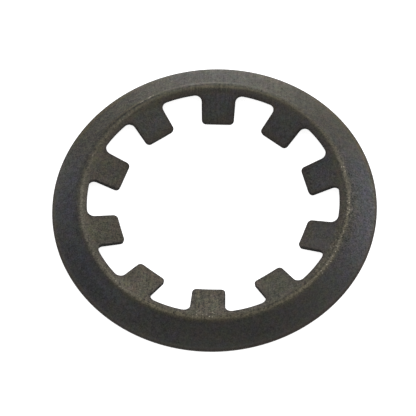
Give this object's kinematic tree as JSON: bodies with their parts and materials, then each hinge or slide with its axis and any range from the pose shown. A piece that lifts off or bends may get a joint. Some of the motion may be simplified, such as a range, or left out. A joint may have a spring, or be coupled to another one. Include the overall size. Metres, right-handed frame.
{
  "type": "push-on retaining ring",
  "caption": "Flat stamped steel ring with a dished rim and a crown of inward prongs; pushed onto a plain shaft, its prongs grip and hold parts in place.",
  "frame": {"origin": "on the shaft axis, in the plane of the rim's lower edge, on which the ring lies", "axes": "+Z along the shaft axis, towards the crest; one prong points along +Y from the axis"},
  "size_m": [0.033, 0.033, 0.0018],
  "materials": {
    "phosphated_steel": "dark oiled phosphate coat on spring steel, satin, with slight wear along the crest"
  },
  "bodies": {
    "root": {"retaining_ring": "phosphated_steel"}
  },
  "joints": []
}
